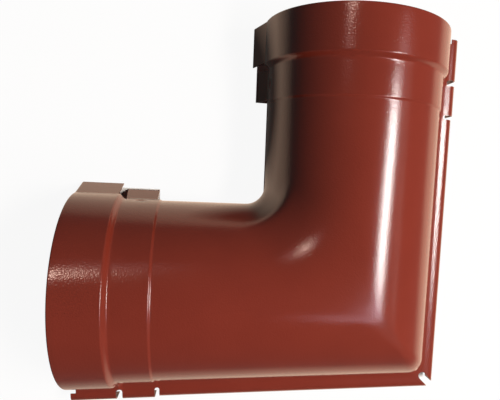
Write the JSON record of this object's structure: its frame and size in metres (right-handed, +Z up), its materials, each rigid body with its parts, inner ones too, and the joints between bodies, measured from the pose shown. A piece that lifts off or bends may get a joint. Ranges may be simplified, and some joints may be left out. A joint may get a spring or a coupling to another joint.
{
  "type": "gutter inside miter",
  "caption": "Right-angled half-round gutter corner pressed from one coated steel sheet, with stepped sockets, rear flange with slotted lip, rolled front bead and bent tabs.",
  "frame": {"origin": "centre of the plan outline, at the level of the lip and tab edges that the part lies on", "axes": "+Z up, away from the open side; one leg runs along -X and the other along +Y from the corner at +X, -Y"},
  "size_m": [0.2774, 0.2774, 0.083],
  "materials": {
    "coated_steel": "oxide-red baked coating, satin gloss with a fine orange peel"
  },
  "bodies": {
    "root": {"gutter_miter": "coated_steel"}
  },
  "joints": []
}
